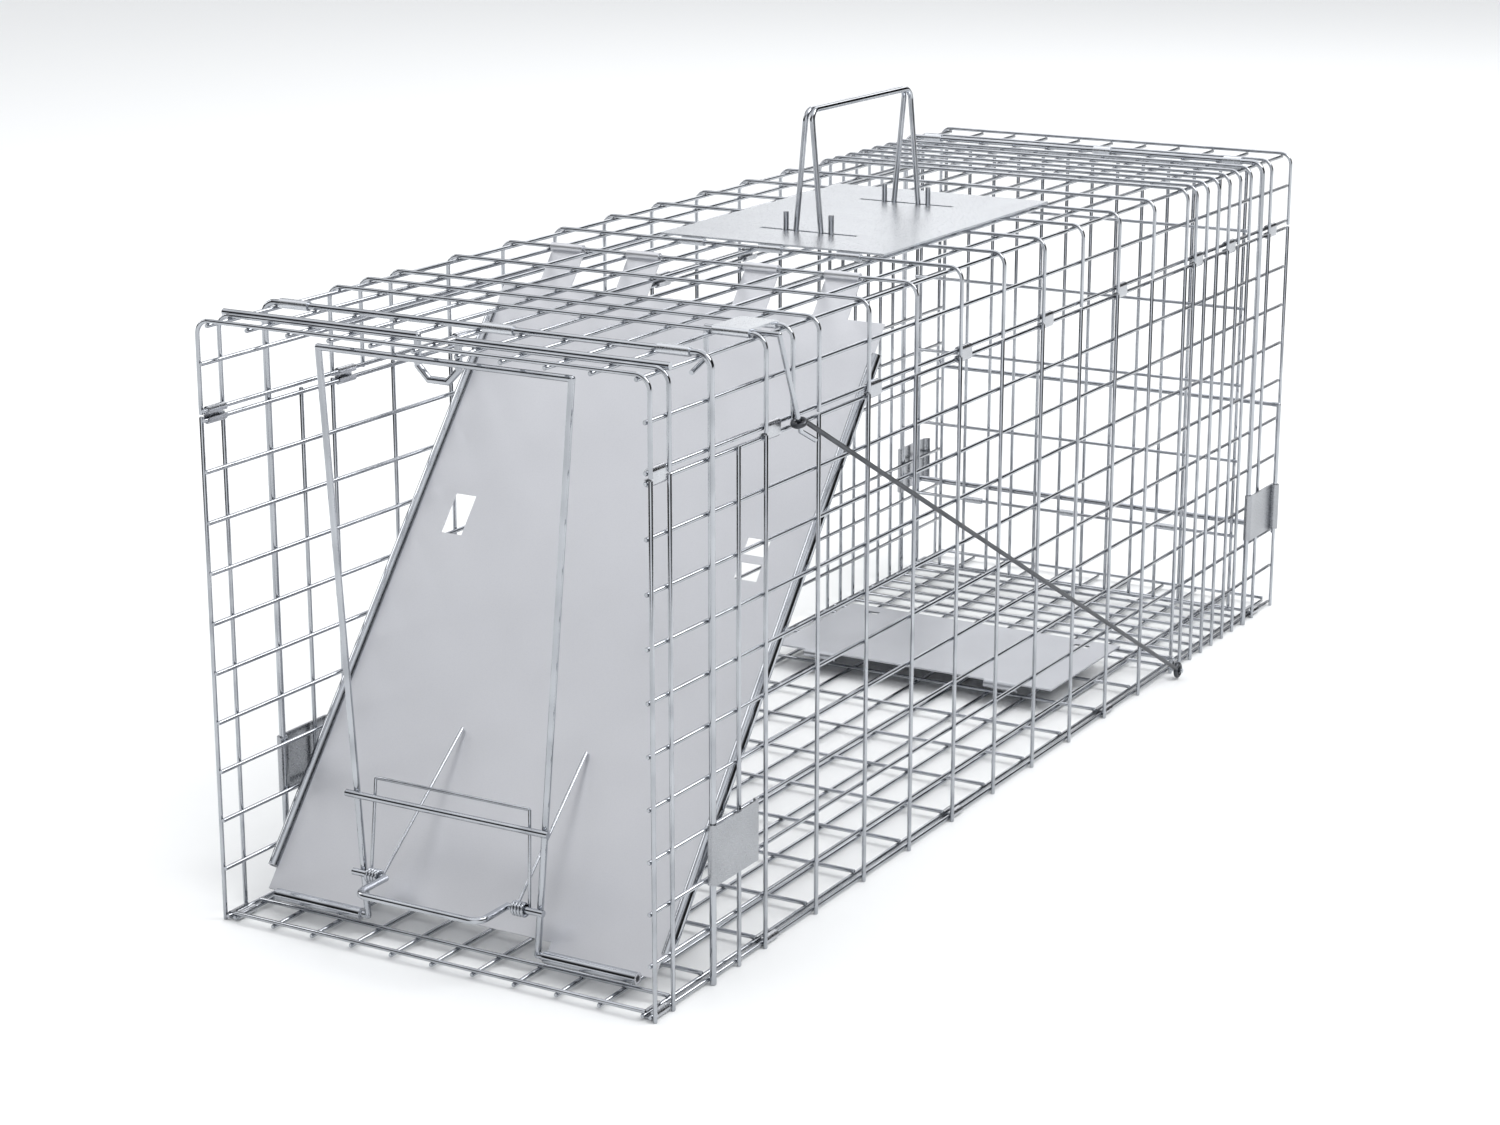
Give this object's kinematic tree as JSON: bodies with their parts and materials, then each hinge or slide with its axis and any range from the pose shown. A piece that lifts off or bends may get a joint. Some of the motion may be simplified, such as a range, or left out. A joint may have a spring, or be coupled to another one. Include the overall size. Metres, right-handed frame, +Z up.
{
  "type": "live catch trap",
  "caption": "Folded wire mesh cage trap with a slanting drop door, spring lock bail, floor trip pan with trigger rod, rear wire gate and a carrying handle.",
  "frame": {"origin": "middle of the overall box, on the ground it stands on", "axes": "+X towards the side with the trip lever, -Y towards the drop door, +Z up"},
  "size_m": [0.2673, 0.7996, 0.3745],
  "materials": {
    "mesh_wire": "bright galvanised wire",
    "rod": "bright galvanised rod",
    "dark_rod": "darker drawn steel rod",
    "spring_wire": "zinc plated spring wire",
    "bright_sheet": "bright satin galvanised sheet",
    "satin_sheet": "satin galvanised sheet",
    "bracket_sheet": "grey satin galvanised sheet",
    "clip_steel": "grey crimped steel"
  },
  "bodies": {
    "cage": {"roof_mesh": "mesh_wire", "left_side_mesh": "mesh_wire", "right_side_mesh": "mesh_wire", "floor_mesh": "mesh_wire", "front_hoop": "rod", "rear_hoop": "rod", "front_hoop_sleeves": "bright_sheet", "gate_hinge_sleeves": "bright_sheet", "roof_clips_left": "clip_steel", "roof_clips_right": "clip_steel", "floor_clips_left": "clip_steel", "floor_clips_right": "clip_steel", "front_bracket_left": "bracket_sheet", "front_bracket_right": "bracket_sheet", "rear_bracket_left": "bracket_sheet", "rear_bracket_right": "bracket_sheet", "bail_stop_rod": "rod", "rear_stop_rod": "rod", "handle_plate": "bright_sheet", "trip_lever_sleeve": "bright_sheet"},
    "door": {"door_panel": "satin_sheet"},
    "lock_bail": {"bail_frame": "rod", "bail_cross_rod": "rod", "bail_handle_rod": "rod", "bail_spring": "spring_wire"},
    "pan": {"pan_plate": "satin_sheet", "pan_link_wire": "rod"},
    "trip_lever": {"trip_lever": "rod"},
    "trigger_rod": {"trigger_rod": "dark_rod"},
    "rear_gate": {"rear_gate_mesh": "mesh_wire", "gate_sleeves": "bright_sheet"},
    "rear_latch": {"rear_latch_rod": "rod"},
    "left_handle": {"handle_wire_left": "rod"},
    "right_handle": {"handle_wire_right": "rod"}
  },
  "joints": [
    {"name": "door_hinge", "type": "hinge", "parent": "cage", "child": "door", "pos_m": [-0.00447, -0.13213, 0.3039], "axis": [-1, 0, 0], "range_deg": [0, 44]},
    {"name": "bail_pivot", "type": "hinge", "parent": "door", "child": "lock_bail", "pos_m": [-0.00447, -0.37023, 0.0115], "axis": [1, 0, 0], "range_deg": [0, 195]},
    {"name": "pan_tilt", "type": "hinge", "parent": "cage", "child": "pan", "pos_m": [-0.00447, 0.21577, 0.013], "axis": [-1, 0, 0], "range_deg": [0, 12]},
    {"name": "trip_lever_turn", "type": "hinge", "parent": "cage", "child": "trip_lever", "pos_m": [0.11138, -0.28163, 0.30415], "axis": [-1, 0, 0], "range_deg": [0, 3]},
    {"name": "trigger_rod_swing", "type": "hinge", "parent": "trip_lever", "child": "trigger_rod", "pos_m": [0.12637, -0.26257, 0.25876], "axis": [1, 0, 0], "range_deg": [0, 3]},
    {"name": "rear_gate_swing", "type": "hinge", "parent": "cage", "child": "rear_gate", "pos_m": [-0.00447, 0.34667, 0.29925], "axis": [-1, 0, 0], "range_deg": [0, 76]},
    {"name": "rear_latch_swing", "type": "hinge", "parent": "cage", "child": "rear_latch", "pos_m": [0.12652, 0.38367, 0.07], "axis": [0, 0, -1], "range_deg": [0, 55]},
    {"name": "left_handle_slide", "type": "slide", "parent": "cage", "child": "left_handle", "axis": [-1, 0, 0], "range_m": [0, 0.012]},
    {"name": "right_handle_slide", "type": "slide", "parent": "cage", "child": "right_handle", "axis": [1, 0, 0], "range_m": [0, 0.012]}
  ],
  "couplings": [
    {"joint": "bail_pivot", "follows": "door_hinge", "ratio": 4.4},
    {"joint": "trip_lever_turn", "follows": "pan_tilt", "ratio": 0.19},
    {"joint": "trigger_rod_swing", "follows": "pan_tilt", "ratio": 0.19}
  ]
}
